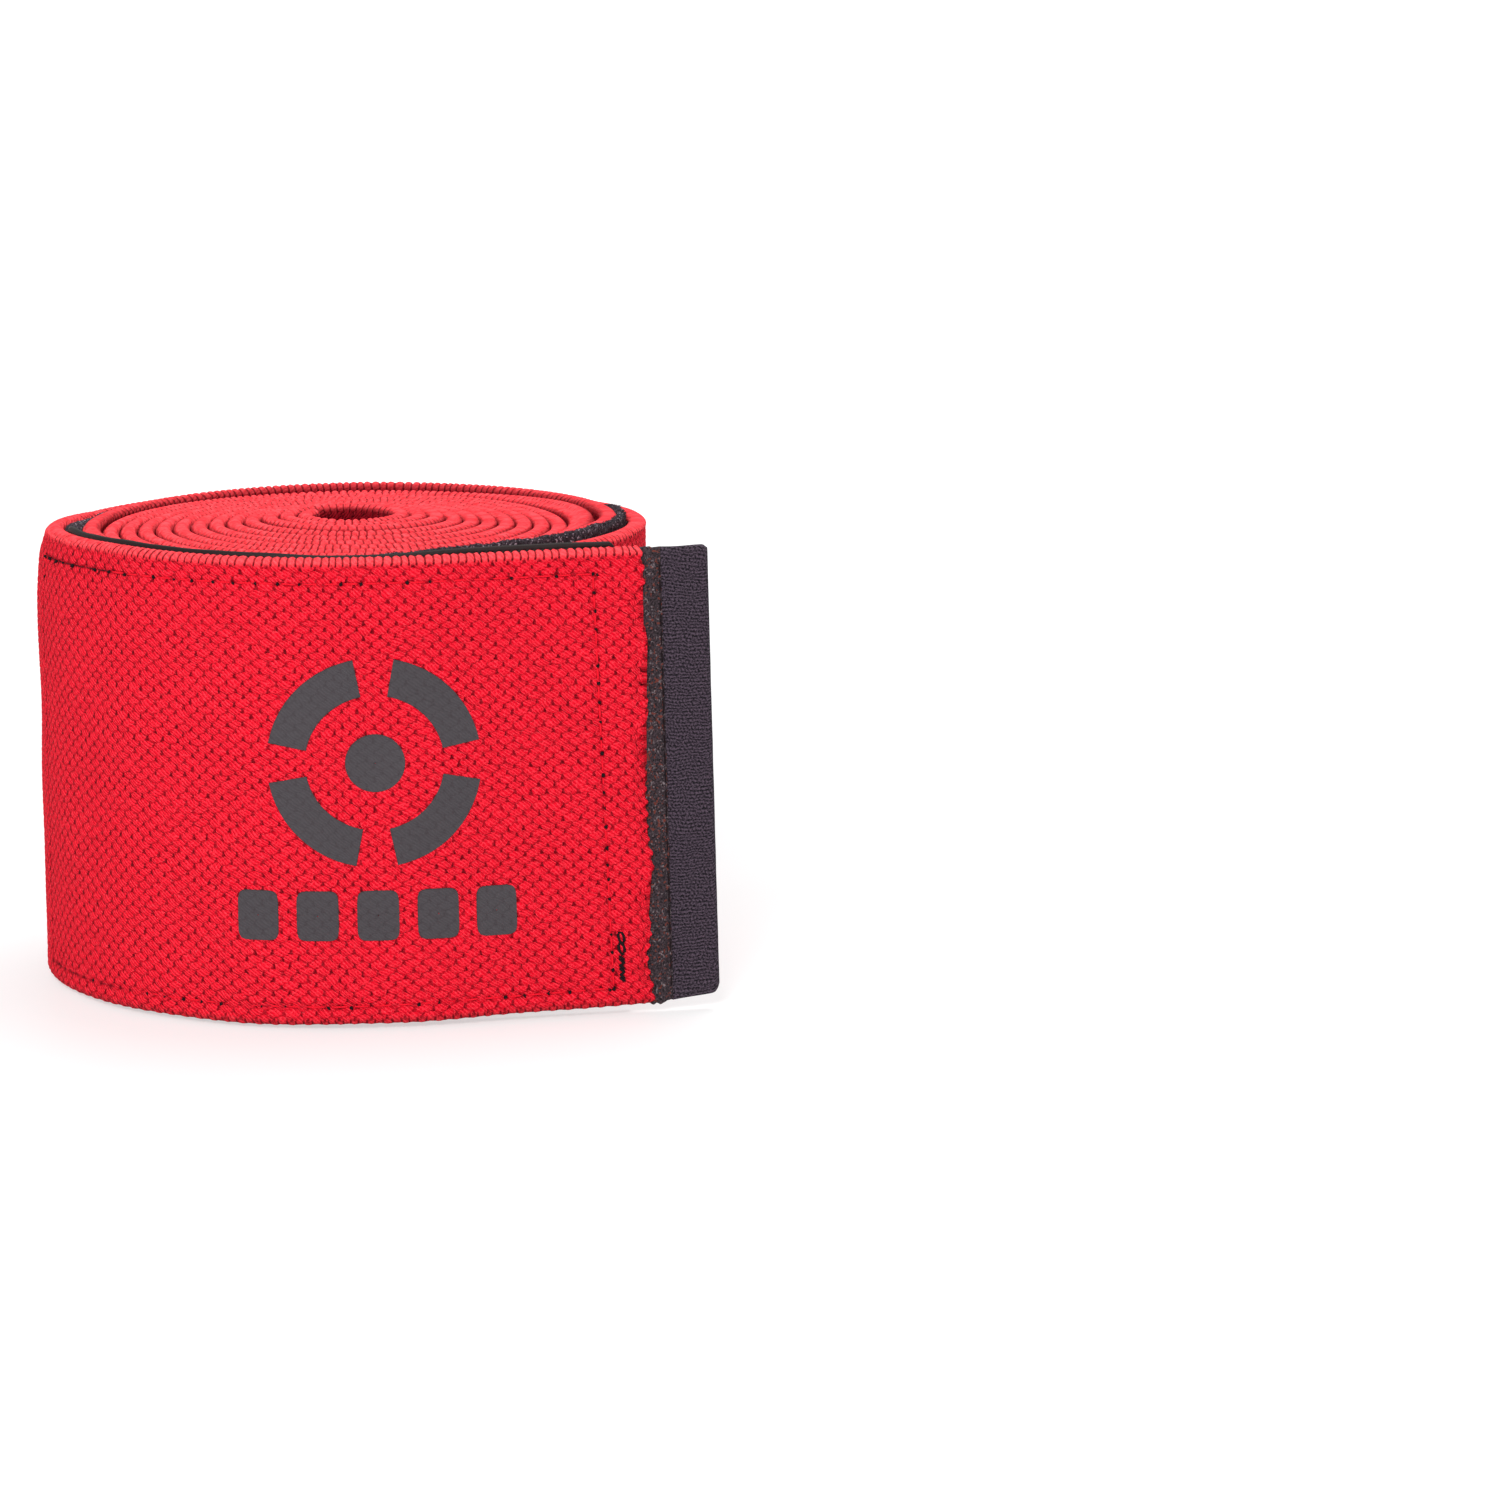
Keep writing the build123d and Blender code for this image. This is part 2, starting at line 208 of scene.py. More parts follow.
# ---- small irregularities ----
def ripple(x, y, size, seed, count=7):
    """Smooth seeded unevenness of about unit height and the given size."""
    source = np.random.default_rng(seed)
    total = np.zeros(np.broadcast(x, y).shape)
    for _ in range(count):
        angle = source.uniform(0, 2 * math.pi)
        rate = source.uniform(0.6, 1.5) * 2 * math.pi / size
        shift = source.uniform(0, 2 * math.pi)
        total = total + np.sin(rate * (x * math.cos(angle) + y * math.sin(angle)) + shift)
    return total / math.sqrt(count / 2)


# ---- the knit's relief ----
ROW = 0.735  # height of one row of the knit
CELL = 1.72  # length of one puffed cell; the next row is offset by half
RIB = 0.86  # pitch of the loops along the band's two edges
CELL_BULGE = 0.17  # each cell is taller in its middle
PUFF_HIGH = 0.16  # relief of the cells
RIB_HIGH = 0.33  # relief of the edge loops
EDGE_ZONE = 0.75  # the loops reach that far in from each edge
LOWER_RIBS = 0.30  # the loops hardly show on the lower edge
STRAND = 0.37  # pitch of the yarn's strands


def puffs(u, v):
    """Height of the puffed cells, from 0 between them to 1 in their middle."""
    row = v / ROW + CELL_BULGE * np.sin(math.pi * v / ROW) * np.cos(2 * math.pi * u / CELL)
    j = np.floor(row + 0.5)
    y = row - j
    col = u / CELL + 0.5 * (j % 2)
    x = col - np.floor(col) - 0.5
    long = 1 - np.abs(2 * x) ** 3
    tall = np.cos(math.pi * y) ** 0.7
    return long * (0.25 + 0.75 * tall)


def ribs(u):
    """Height of the loops along an edge, from 0 between them to 1."""
    return np.abs(np.cos(math.pi * u / RIB)) ** 0.6


def jittered(u, v):
    """Knit coordinates: arc length and height with the yarn's unevenness."""
    du = 0.14 * ripple(u, 0 * v, 9.0, 11) + 0.07 * ripple(u, v, 2.6, 12)
    dv = 0.10 * ripple(u, v, 9.0, 13) + 0.05 * ripple(u, v, 2.2, 14)
    return u + du, v + dv


# ---- meshes ----
def new_object(name, points, faces, material, lay=None, painted_shade_and_seam_line=None):
    """Mesh object from points in millimetres and a list of faces or an array of quads."""
    mesh = bpy.data.meshes.new(name)
    if isinstance(faces, np.ndarray):
        faces = [tuple(face) for face in faces.tolist()]
    mesh.from_pydata((np.asarray(points) * MM).tolist(), [], faces)
    if lay is not None:
        attribute = mesh.attributes.new("lay", "FLOAT_VECTOR", "POINT")
        attribute.data.foreach_set("vector", np.asarray(lay, np.float32).ravel())
    # The optional float attribute holds painted shade for the knit's colour; on the end flap it also
    # holds the seam's dark line.
    if painted_shade_and_seam_line is not None:
        attribute = mesh.attributes.new("painted_shade_and_seam_line", "FLOAT", "POINT")
        attribute.data.foreach_set("value", np.asarray(painted_shade_and_seam_line, np.float32).ravel())
    mesh.materials.append(material)
    mesh.polygons.foreach_set("use_smooth", np.ones(len(mesh.polygons), bool))
    mesh.update()
    obj = bpy.data.objects.new(name, mesh)
    bpy.context.scene.collection.objects.link(obj)
    return obj


def tube_faces(stations, ring):
    """Quads of a closed ring swept over stations, and one face over each end."""
    i = np.arange(stations - 1)[:, None] * ring
    k = np.arange(ring)[None, :]
    nxt = (k + 1) % ring
    quads = np.stack([i + k, i + nxt, i + ring + nxt, i + ring + k], -1).reshape(-1, 4)
    ends = [tuple(range(ring))[::-1], tuple(range((stations - 1) * ring, stations * ring))]
    return [tuple(face) for face in quads.tolist()] + ends


class Section:
    """Closed cross-section of a flat strip: two faces and two rounded edges."""

    def __init__(self, thick, edge, outer, inner, edge_points, width=WIDTH):
        phi = np.linspace(0, math.pi, edge_points + 2)[1:-1]
        outer = np.asarray(outer, float)
        inner = np.asarray(inner, float)[::-1]
        ones = np.ones
        self.normal_out = np.concatenate([
            ones(len(outer)), np.cos(phi), -ones(len(inner)), -np.cos(phi),
        ])
        self.normal_up = np.concatenate([0 * outer, np.sin(phi), 0 * inner, -np.sin(phi)])
        self.out = self.normal_out * thick / 2
        self.rise = self.normal_up * edge
        flat = width - 2 * edge
        self.fraction = np.concatenate([
            (outer - edge) / flat, ones(len(phi)), (inner - edge) / flat, 0 * phi,
        ])
        self.v = edge + self.fraction * flat + self.rise
        near = np.minimum(self.v, width - self.v)
        upper = np.where(self.v > width / 2, 1.0, LOWER_RIBS)
        self.selvedge = upper * (1 - smooth(near, EDGE_ZONE - 0.35, EDGE_ZONE + 0.15))
        self.edge = edge


def strip(name, s, section, offset, low, top, material, relief=None, painted_shade_and_seam_line=None, wavy=None):
    """Closed strip that follows the band's path, offset outside its middle line."""
    n, m = len(s), len(section.out)
    grid_s = np.repeat(s[:, None], m, 1)
    grid_v = np.repeat(section.v[None, :], n, 0)
    u, v = jittered(grid_s, grid_v)
    high = relief(u, v, grid_s, grid_v, section) if relief else np.zeros((n, m))
    place = leaned(grid_s, grid_v)
    if wavy:
        place = place + wavy(grid_s, grid_v)
    out = offset + section.out[None, :] + high * section.normal_out[None, :] - curl(grid_s, grid_v)
    x, y = on_path(place, out)
    low = np.broadcast_to(low, n)[:, None]
    top = np.broadcast_to(top, n)[:, None]
    edge = section.edge
    z = low + edge + section.fraction[None, :] * (top - low - 2 * edge)
    z = z + section.rise[None, :] + high * section.normal_up[None, :]
    points = np.stack([x, y, z], -1).reshape(-1, 3)
    weight = np.repeat(section.selvedge[None, :], n, 0)
    lay = np.stack([u, v, weight], -1).reshape(-1, 3)
    # painted shade, and on the end flap the seam's dark line, from the given function
    dark = None if painted_shade_and_seam_line is None else painted_shade_and_seam_line(grid_s, grid_v, section).reshape(-1)
    return new_object(name, points, tube_faces(n, m), material, lay, dark)


# ---- materials ----
class Term:
    """A shader value that can be used in sums."""

    def __init__(self, net, socket):
        self.net = net
        self.socket = socket

    def __add__(self, other):
        return self.net.math("ADD", self, other)

    def __sub__(self, other):
        return self.net.math("SUBTRACT", self, other)

    def __rsub__(self, other):
        return self.net.math("SUBTRACT", other, self)

    def __mul__(self, other):
        return self.net.math("MULTIPLY", self, other)

    __radd__ = __add__
    __rmul__ = __mul__


class Net:
    """A material with a Principled shader and helpers that add nodes."""

    def __init__(self, name, roughness, sheen=0.0, sheen_tint=(1, 1, 1), specular=0.3):
        self.material = bpy.data.materials.new(name)
        self.material.use_nodes = True
        self.tree = self.material.node_tree
        self.shader = self.tree.nodes["Principled BSDF"]
        self.shader.inputs["Roughness"].default_value = roughness
        self.shader.inputs["Specular IOR Level"].default_value = specular
        self.shader.inputs["Sheen Weight"].default_value = sheen
        self.shader.inputs["Sheen Roughness"].default_value = 0.5
        self.shader.inputs["Sheen Tint"].default_value = (*sheen_tint, 1)

    def plug(self, socket, value):
        if isinstance(value, Term):
            self.tree.links.new(value.socket, socket)
        elif isinstance(value, tuple) and len(value) == 3 and socket.type == "RGBA":
            socket.default_value = (*value, 1)
        else:
            socket.default_value = value

    def math(self, operation, *values):
        node = self.tree.nodes.new("ShaderNodeMath")
        node.operation = operation
        for socket, value in zip(node.inputs, values):
            self.plug(socket, value)
        return Term(self, node.outputs[0])

    def lay(self):
        node = self.tree.nodes.new("ShaderNodeAttribute")
        node.attribute_name = "lay"
        parts = self.tree.nodes.new("ShaderNodeSeparateXYZ")
        self.tree.links.new(node.outputs["Vector"], parts.inputs[0])
        return [Term(self, node.outputs["Vector"])] + [Term(self, o) for o in parts.outputs]

    def value(self, name):
        node = self.tree.nodes.new("ShaderNodeAttribute")
        node.attribute_name = name
        return Term(self, node.outputs["Fac"])

    def object_point(self):
        node = self.tree.nodes.new("ShaderNodeTexCoord")
        return Term(self, node.outputs["Object"])

    def vector(self, x, y, z=0.0):
        node = self.tree.nodes.new("ShaderNodeCombineXYZ")
        for socket, value in zip(node.inputs, (x, y, z)):
            self.plug(socket, value)
        return Term(self, node.outputs[0])

    def noise(self, vector, scale, detail=2.0, rough=0.5):
        node = self.tree.nodes.new("ShaderNodeTexNoise")
        self.plug(node.inputs["Vector"], vector)
        node.inputs["Scale"].default_value = scale
        node.inputs["Detail"].default_value = detail
        node.inputs["Roughness"].default_value = rough
        return Term(self, node.outputs[0])

    def random(self, vector):
        node = self.tree.nodes.new("ShaderNodeTexWhiteNoise")
        node.noise_dimensions = "3D"
        self.plug(node.inputs["Vector"], vector)
        return Term(self, node.outputs["Value"])

    def ramp(self, value, low, high, to_low=0.0, to_high=1.0):
        node = self.tree.nodes.new("ShaderNodeMapRange")
        node.interpolation_type = "SMOOTHSTEP"
        for socket, number in zip(node.inputs, (value, low, high, to_low, to_high)):
            self.plug(socket, number)
        return Term(self, node.outputs[0])

    def mix(self, factor, a, b):
        node = self.tree.nodes.new("ShaderNodeMix")
        node.data_type = "RGBA"
        self.plug(node.inputs[0], factor)
        self.plug(node.inputs[6], a)
        self.plug(node.inputs[7], b)
        return Term(self, node.outputs[2])

    def finish(self, colour, height=None, distance=0.1, strength=1.0):
        self.plug(self.shader.inputs["Base Color"], colour)
        if height is not None:
            bump = self.tree.nodes.new("ShaderNodeBump")
            bump.inputs["Strength"].default_value = strength
            bump.inputs["Distance"].default_value = distance * MM
            self.plug(bump.inputs["Height"], height)
            self.tree.links.new(bump.outputs[0], self.shader.inputs["Normal"])
        return self.material


def knit_cells(net, u, v):
    """Distance to the nearest cell end, to the nearest row line, and a random value per cell."""
    wave = net.math("SINE", v * (math.pi / ROW)) * net.math("COSINE", u * (2 * math.pi / CELL))
    ragged = net.math("SINE", (u * 0.50 + v * 0.86) * (2 * math.pi / STRAND)) * 0.085
    row = v * (1 / ROW) + wave * CELL_BULGE + ragged
    j = net.math("FLOOR", row + 0.5)
    y = row - j
    col = u * (1 / CELL) + net.math("FLOORED_MODULO", j, 2.0) * 0.5
    i = net.math("FLOOR", col)
    x = col - i - 0.5
    end = (0.5 - net.math("ABSOLUTE", x)) * CELL
    line = (0.5 - net.math("ABSOLUTE", y)) * ROW
    return x, y, end, line, net.random(net.vector(i, j, 0.0))


def knit_material(name, film=False):
    """Puffed knit with ribbed edges, or the thin film that is pressed into it."""
    net = Net(name, 0.85, sheen=0.02, sheen_tint=(1.0, 0.3, 0.35), specular=0.04)
    lay, u, v, selvedge = net.lay()
    x, y, end, line, cell = knit_cells(net, u, v)
    face = 1.0 - selvedge
    painted_shade_and_seam_line = net.value("painted_shade_and_seam_line")
    flare = end - net.ramp(y, -0.5, 0.5, 0.13, 0.0)
    pit = net.ramp(flare, 0.0, 0.17, 1.0, 0.0) * net.ramp(line, -0.05, 0.12)
    pit = pit * (0.45 + 0.55 * cell) * face
    patchy = net.noise(lay, 1.1, 2.0, 0.6)
    groove = net.ramp(line, 0.0, 0.19, 1.0, 0.0) * face * net.ramp(patchy, 0.34, 0.62, 0.25, 1.0)
    # painted shade on the lower side of each cell
    painted_underside_shade = net.ramp(y, -0.5, 0.0, 1.0, 0.0) * face
    bend = net.math("SINE", x * 3.0) * 0.12 + y * 0.12 + cell * 0.30
    strand = net.math("SINE", (u * 0.56 + v * 0.82 + u * cell * 0.02 + bend) * (2 * math.pi / STRAND))
    strand = strand * 0.5 + 0.5
    rib_turn = net.math("COSINE", u * (math.pi / RIB))
    between = net.ramp(net.math("ABSOLUTE", rib_turn), 0.05, 0.55, 1.0, 0.0)
    rib_gap = between * selvedge
    # painted shade in the pits between the edge loops
    painted_rib_pit_shade = net.ramp(net.math("ABSOLUTE", rib_turn), 0.15, 0.60, 1.0, 0.0) * selvedge * face * 3.6
    twist = net.math("SINE", (u * 0.45 + v * 0.9) * (2 * math.pi / 0.33)) * 0.5 + 0.5
    fuzz = net.noise(lay, 4.5, 3.0, 0.75)
    # pale flecks from the fuzz noise: painted glints
    pale = net.ramp(fuzz, 0.50, 0.66)
    broad = net.noise(lay, 0.12, 2.0)
    height = strand * 0.80 * face + twist * 0.55 * selvedge + fuzz * 0.8
    height = height - pit * 1.2 - groove * 0.6 - rib_gap * 1.2
    if film:
        base = net.mix(broad, (0.046, 0.041, 0.045), (0.056, 0.050, 0.055))
        # painted highlights on the strands, and painted glints
        base = net.mix(strand * 0.12 + pale * 0.10, base, (0.11, 0.10, 0.11))
        # painted shade in the pits and row lines
        base = net.mix(pit * 0.22 + groove * 0.12, base, (0.020, 0.010, 0.012))
        return net.finish(base, strand * 0.4 + fuzz * 0.6, 0.035, 1.0)
    base = net.mix(broad, (0.84, 0.002, 0.018), (0.95, 0.005, 0.024))
    for share, colour in (
        # painted highlights on the yarn's strands
        (strand * face * 0.50, (1.0, 0.042, 0.070)),
        # painted shade between the strands
        ((1.0 - strand) * face * 0.58, (0.48, 0.0, 0.010)),
        # paler edge loops: painted light on the band's edges
        (selvedge * 0.50, (0.95, 0.090, 0.100)),
        # painted highlights on the edge loops
        (twist * selvedge * 0.30, (1.0, 0.15, 0.16)),
        # painted glints
        (pale * 0.34, (1.0, 0.120, 0.150)),
        (net.ramp(fuzz, 0.34, 0.48, 1.0, 0.0) * 0.42, (0.42, 0.0, 0.008)),
        # painted shade on the lower side of each cell
        (painted_underside_shade * 0.18, (0.42, 0.0, 0.008)),
        # painted shade in the row lines
        (groove * 0.58, (0.30, 0.0, 0.005)),
        # painted shade in the pits
        (pit * 0.90, (0.060, 0.0, 0.002)),
        # painted shade in the gaps between the edge loops
        (rib_gap * 0.78, (0.16, 0.0, 0.003)),
        # painted shade in the pits between the edge loops
        (painted_rib_pit_shade, (0.06, 0.0, 0.002)),
        # painted shade of the turns' sides, the rim and the lower edge, and the seam's dark line
        (painted_shade_and_seam_line * 0.80, (0.08, 0.0, 0.003)),
    ):
        base = net.mix(share, base, colour)
    return net.finish(base, height, 0.15, 1.0)


def twill_material(name, dark, light, pitch=0.38):
    """Fine weave of a flat tape: wandering rows of small beads, staggered from row to row."""
    net = Net(name, 0.75, sheen=0.05, sheen_tint=(0.7, 0.65, 0.75), specular=0.15)
    lay, u, v, _ = net.lay()
    wander = net.noise(lay, 0.30, 1.0) * 0.45
    row = (v + wander + u * 0.12) * (2 * math.pi / pitch)
    across = net.math("SINE", row) * 0.5 + 0.5
    along = net.math("SINE", u * (2 * math.pi / (pitch * 1.1)) + row * 0.5) * 0.5 + 0.5
    fuzz = net.noise(lay, 5.0, 3.0, 0.75)
    weave = across * 0.3 + across * along * 0.7
    spots = net.ramp(fuzz, 0.40, 0.60)
    base = net.mix(net.ramp(weave * 0.5 + spots * 0.5, 0.10, 0.80), dark, light)
    return net.finish(base, weave * 0.8 + fuzz * 0.7, 0.12, 1.0)


def lint_material(name, dark, light, lint, stray=None):
    """Brushed black pile or seam edge with pale lint, and a few stray red fibres on the seam edge."""
    net = Net(name, 0.9, sheen=0.05, sheen_tint=(0.8, 0.75, 0.85), specular=0.10)
    point = net.object_point()
    fine = net.noise(point, 5200.0, 3.0, 0.75)
    coarse = net.noise(point, 1500.0, 2.0, 0.6)
    specks = net.ramp(net.noise(point, 4200.0, 1.0, 0.4), 0.56, 0.66)
    patches = net.ramp(coarse, 0.42, 0.62)
    base = net.mix(net.ramp(fine, 0.32, 0.68), dark, light)
    base = net.mix(specks * patches * 0.8, base, lint)
    if stray:
        base = net.mix(net.ramp(net.noise(point, 3000.0, 1.0, 0.4), 0.60, 0.66) * 0.8, base, stray)
    return net.finish(base, fine + coarse, 0.18, 1.0)


def thread_material(name, colour, light):
    """Sewing thread with a fine uneven twist."""
    net = Net(name, 0.8, specular=0.1)
    fine = net.noise(net.object_point(), 3000.0, 3.0, 0.6)
    return net.finish(net.mix(fine, colour, light), fine, 0.04, 0.8)


HOOK_ROW = 1.2
HOOK_PITCH = 0.9


def hook_material(name, colour, light, roughness, specular):
    """Moulded tape with staggered rows of small hooks."""
    net = Net(name, roughness, specular=specular)
    _, u, v, selvedge = net.lay()
    row = net.math("FLOOR", v * (1 / HOOK_ROW))
    shift = net.math("FLOORED_MODULO", row, 2.0) * 0.5
    along = net.math("ABSOLUTE", net.math("SINE", (u * (1 / HOOK_PITCH) + shift) * math.pi))
    across = net.math("ABSOLUTE", net.math("SINE", v * (math.pi / HOOK_ROW)))
    knob = net.ramp(along * across, 0.25, 0.75) * (1.0 - selvedge)
    fine = net.noise(net.object_point(), 1400.0, 3.0, 0.6)
    return net.finish(net.mix(knob * 0.8 + fine * 0.2, colour, light), knob + fine * 0.3, 0.18, 1.0)


KNIT = knit_material("red elastic knit")
FILM = knit_material("dark grey transfer film", film=True)
TAPE = twill_material("black twill tape", (0.001, 0.0, 0.002), (0.076, 0.052, 0.074))
HEM_TAPE = lint_material(
    "sewn tape edge", (0.002, 0.002, 0.002), (0.062, 0.042, 0.050),
    (0.20, 0.16, 0.17), (0.14, 0.03, 0.02),
)
PILE = lint_material(
    "brushed loop pile", (0.002, 0.001, 0.002), (0.060, 0.042, 0.054), (0.42, 0.32, 0.38),
)
HOOKS = hook_material("hook tape", (0.010, 0.005, 0.005), (0.034, 0.018, 0.018), 0.60, 0.22)
RED_THREAD = thread_material("red thread", (0.50, 0.001, 0.010), (0.78, 0.010, 0.026))
BLACK_THREAD = thread_material("black thread", (0.003, 0.001, 0.002), (0.016, 0.009, 0.011))


# ---- the band ----
SWELL = 1.25


def edge_relief(u, v, s, flat, section):
    """Loops along the edges, for turns whose faces are hidden.

    The core's last turn swells on the right.
    """
    turn = np.interp(s, TURN_S, TURNS)
    swell = SWELL * smooth(turn, 10.82, 10.98) * (1 - smooth(turn, 11.04, 11.22))
    outward = np.clip(section.normal_out, 0, 1)[None, :]
    return section.selvedge[None, :] * RIB_HIGH * (ribs(u) - 0.5) + swell * outward


def turn_side_painted_shade(s, v, section):
    """Painted shade on the sides of each turn, which are in deep shade because the turns touch."""
    side = smooth(np.abs(section.normal_out), 0.50, 0.97)[None, :] * 0.95
    return np.broadcast_to(side, s.shape)


def rim_painted_shade(s, v, section):
    """Painted shade on the rim: a little over all of it, and more on its inner face where it goes
    down to the core.
    """
    inner = smooth(-section.normal_out, 0.25, 0.95)
    return np.broadcast_to(0.12 + inner[None, :] * 0.65, s.shape)


SEAM_TOP = 2.6
SEAM_LOW = 2.1
SEAM_LEFT = 3.8
SEAM_RIGHT = 5.1
SEAM_SLANT = 0.9  # the right seam leans that much more than the fabric
THREAD_WIDE = 0.17
GROOVE_WIDE = 0.34
GROOVE_DEEP = 0.17


def near(x, line, wide):
    """1 on a line, falling to 0 beside it."""
    return np.exp(-(((x - line) / wide) ** 2))


def seam_line(s, v, wide):
    """1 on the hook tape's stitch lines, falling to 0 beside them."""
    left = S_HINGE + SEAM_LEFT
    right = S_CUT - SEAM_RIGHT - SEAM_SLANT * (v / WIDTH - 0.5)
    inside_s = smooth(s, left - 0.5, left) * (1 - smooth(s, right, right + 0.5))
    top = WIDTH - SEAM_TOP
    inside_v = smooth(v, SEAM_LOW - 0.4, SEAM_LOW) * (1 - smooth(v, top, top + 0.4))
    level = near(v, top, wide) + near(v, SEAM_LOW, wide)
    upright = near(s, left, wide) + near(s, right, wide)
    return np.clip(level * inside_s + upright * inside_v, 0, 1)


def seam_line_and_painted_shade(s, v, section):
    """Dark line along the stitched groove: painted shade in the groove, darker on the left where the
    stitches are black thread; and painted shade at the lower edge.
    """
    left_part = 1 - smooth(s, S_HINGE + 14, S_HINGE + 26)
    broken = 0.35 + 0.45 * ripple(s, v, 1.6, 23) + 0.6 * left_part
    outer = (section.normal_out > 0.5)[None, :]
    # painted shade along the lower edge
    under = 0.5 * (1 - smooth(v, 0.1, 1.2))
    line = seam_line(s, v, THREAD_WIDE) * np.clip(broken, 0.15, 1)
    return np.where(outer, line, 0.0) + under


def knit_relief(u, v, s, flat, section):
    """Puffed cells on the faces and loops along the edges."""
    edge = section.selvedge[None, :]
    high = (1 - edge) * PUFF_HIGH * (puffs(u, v) - 0.6) + edge * RIB_HIGH * (ribs(u) - 0.5)
    outer = (section.normal_out > 0.5)[None, :]
    high = high + 0.06 * ripple(s, flat, 16.0, 21) * (1 - edge)
    groove = GROOVE_DEEP * seam_line(s, flat, GROOVE_WIDE)
    return high - np.where(outer & (s > S_HINGE), groove, 0.0)


def cut_wave(s, v):
    """The band's cut end follows pairs of the knit's rows."""
    wave = 0.20 * np.sin(2 * math.pi * v / (2 * ROW) + 1.2 * ripple(0 * v, v, 12.0, 24))
    wave = wave + 0.22 * ripple(0 * v, v, 8.0, 25)
    back = 0.15 + 0.55 * (1 - v / WIDTH)
    return (wave - back) * smooth(s, S_CUT - 2.0, S_CUT)


def stations(start, end, step):
    """Even arc lengths from start to end, about step apart."""
    return np.linspace(start, end, max(2, round((end - start) / step)) + 1)


CORE_ROWS = (1.1, 2.2, 25.0, 47.8, 48.7)
fine_rows = np.arange(0.8, 49.21, 0.184)
mid_rows = np.arange(0.8, 49.21, 0.6)
EDGE = 0.75
CORE_EDGE = 1.05  # the inner turns' edges are rounder
rim_inner_rows = np.r_[0.8, 25.0, 44.0, 46.0, np.arange(47, 49.21, 0.2)]
core_section = Section(THICK, CORE_EDGE, CORE_ROWS, CORE_ROWS, 9)
rim_section = Section(THICK, EDGE, mid_rows[::2], rim_inner_rows, 7)
face_section = Section(THICK, EDGE, fine_rows, np.r_[mid_rows[::4], 49.2], 8)

CORE_SPLITS = (("inner", FIRST_TURN, 6.0), ("middle", 6.0, 9.0), ("outer", 9.0, CORE_END))
for part, start, end in CORE_SPLITS:
    s = stations(s_at(start) + 0.01, s_at(end), 0.17)
    low, top = edge_heights(s)
    name = f"band_core_turns_{part}"
    obj = strip(name, s, core_section, 0.0, low, top, KNIT, edge_relief, turn_side_painted_shade)
    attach(obj, "roll")
    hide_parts("band_core_turns")

OUTER_SPLITS = (
    ("rim", CORE_END, 12.68, rim_section, 0.24, edge_relief),
    ("front", 12.68, 12.84, face_section, 0.287, knit_relief),
    ("right", 12.84, 13.19, face_section, 0.287, knit_relief),
    ("back", 13.19, HINGE_TURN, face_section, 0.287, knit_relief),
)
for part, start, end, section, step, relief in OUTER_SPLITS:
    s = stations(s_at(start), s_at(end), step)
    low, top = edge_heights(s)
    name = f"band_outer_turns_{part}"
    shade = rim_painted_shade if part == "rim" else None
    obj = strip(name, s, section, 0.0, low, top, KNIT, relief, shade)
    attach(obj, "roll")
    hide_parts("band_outer_turns")


def path_point(s, out, z):
    """Point in metres at an arc length, a distance outside the middle line and a height."""
    x, y = on_path(np.array([s]), out)
    return (float(x[0]) * MM, float(y[0]) * MM, z * MM)


BEND_RUN = 3.0  # the band follows the end section from there on
MIDDLE = WIDTH / 2

s = stations(S_HINGE, S_CUT, 0.29)
low, top = edge_heights(s)
end_knit = strip(
    "band_end_flap_knit", s, face_section, 0.0, low, top, KNIT,
    knit_relief, seam_line_and_painted_shade, cut_wave,
)
path_point(S_HINGE, 0, MIDDLE)
path_point(S_HINGE + BEND_RUN, 0, MIDDLE)
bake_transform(end_knit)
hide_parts("band_end_flap")


# ---- hook tape and loop tape ----
HOOK_THICK = 0.85
LOOP_THICK = 0.95
HOOK_SHORT = 2.0  # the hook tape ends that far before the cut

s = stations(S_HINGE + BEND_RUN, S_CUT - HOOK_SHORT, 0.3)
low, top = edge_heights(s)
past_front = s - S_FRONT
# its upper edge stands a little over the band's, dips at the front and drops in a round corner
rise = 0.36 - 0.24 * smooth(past_front, -8, 0) + 0.42 * smooth(past_front, 4, 17)
end_round = 1 - 0.9 * smooth(s, S_CUT - HOOK_SHORT - 1.8, S_CUT - HOOK_SHORT) ** 3
hook_rows = np.arange(0.4, 49.61, 0.4)
hook_section = Section(HOOK_THICK, 0.2, hook_rows, hook_rows, 5)


def hook_relief(u, v, s, flat, section):
    """Rows of hooks stand on the inner face."""
    inner = (section.normal_out < -0.5)[None, :]
    rows = np.where(inner, 0.05 * np.cos(2 * math.pi * flat / HOOK_ROW), 0.0)
    return rows + 0.02 * ripple(s, flat, 9, 31)


hook = strip(
    "hook_patch_tape", s, hook_section, -THICK / 2 - 0.12 - HOOK_THICK / 2,
    low + 0.2, top + rise * end_round - 0.9 * (1 - end_round), HOOKS, hook_relief,
)
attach(hook, "end_flap")
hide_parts("hook_patch")


def pile_relief(u, v, s, flat, section):
    """Uneven nap of the brushed loops, which fills the gap to the next turn on the left."""
    nap = 0.04 * ripple(s, flat, 0.9, 41) + 0.05 * ripple(s, flat, 0.45, 42)
    turn = np.interp(s, TURN_S, TURNS)
    over = face_radius(turn + 1.0) - THICK - face_radius(turn) - LOOP_THICK - 0.25
    behind_band = np.clip(over, 0, 1.2) * smooth(turn, 12.28, 12.34)
    past_left = smooth(turn, 12.50, 12.53)
    fill = behind_band * (1 - past_left) + 0.45 * past_left
    outward = np.clip(section.normal_out, 0, 1)[None, :]
    return nap * np.where(section.normal_out[None, :] < -0.5, 0.0, 1.0) + fill * outward


